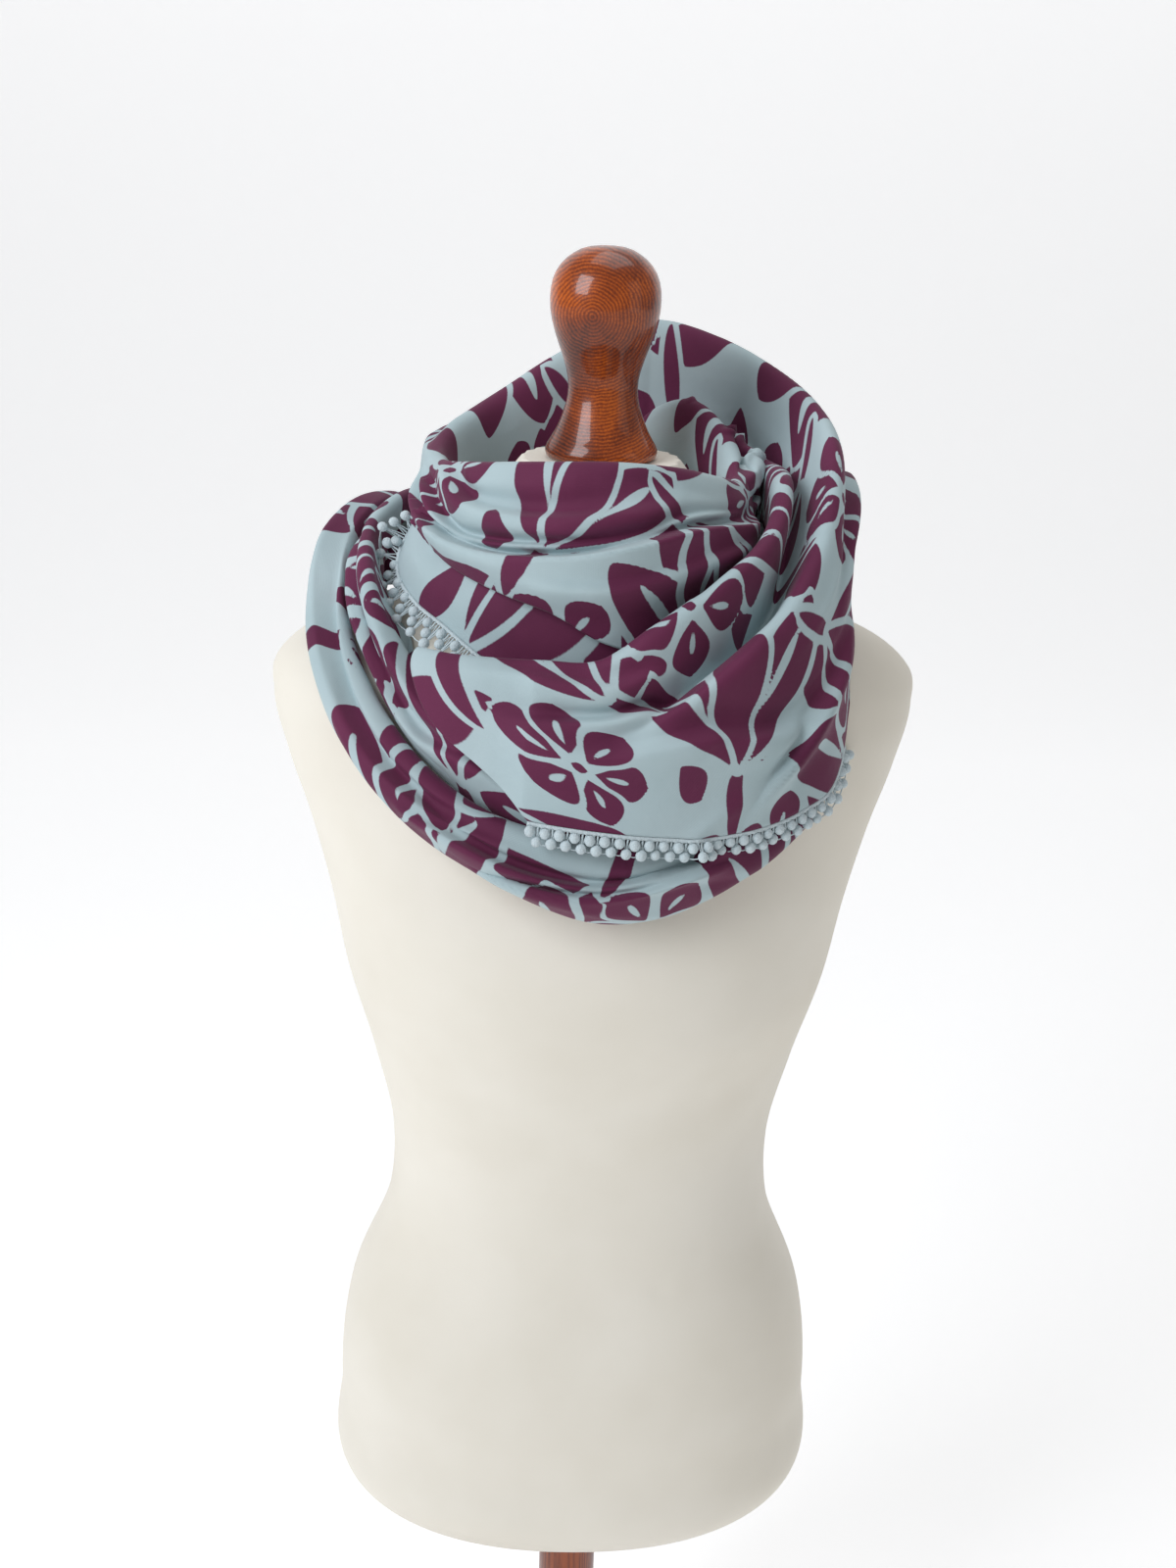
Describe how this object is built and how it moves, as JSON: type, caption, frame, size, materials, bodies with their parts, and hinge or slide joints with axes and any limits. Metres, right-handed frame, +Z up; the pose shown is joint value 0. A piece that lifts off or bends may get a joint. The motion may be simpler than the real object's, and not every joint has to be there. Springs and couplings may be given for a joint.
{
  "type": "triangle scarf on dress form",
  "caption": "Large printed triangle scarf with bobble trim, wound round the neck of a limbless dress form on a wooden foot.",
  "frame": {"origin": "centre of the foot's underside", "axes": "+Z up, the form faces -Y"},
  "size_m": [0.394, 0.3261, 1.2354],
  "materials": {
    "print_cotton": "smooth matte cotton, plum flowers on pale sage",
    "bobble_trim": "matte pale blue bobbles",
    "cream_cover": "stretched cream jersey",
    "varnished_wood": "glossy reddish-brown varnish"
  },
  "bodies": {
    "root": {"form_body": "cream_cover", "finial": "varnished_wood", "pole": "varnished_wood", "foot": "varnished_wood", "lower_loop": "print_cotton", "upper_loop": "print_cotton", "front_cowl": "print_cotton", "tucked_end": "print_cotton", "trimmed_corner": "print_cotton", "front_panel": "print_cotton", "back_collar": "print_cotton", "front_trim": "bobble_trim", "side_trim": "bobble_trim", "corner_trim": "bobble_trim"}
  },
  "joints": []
}
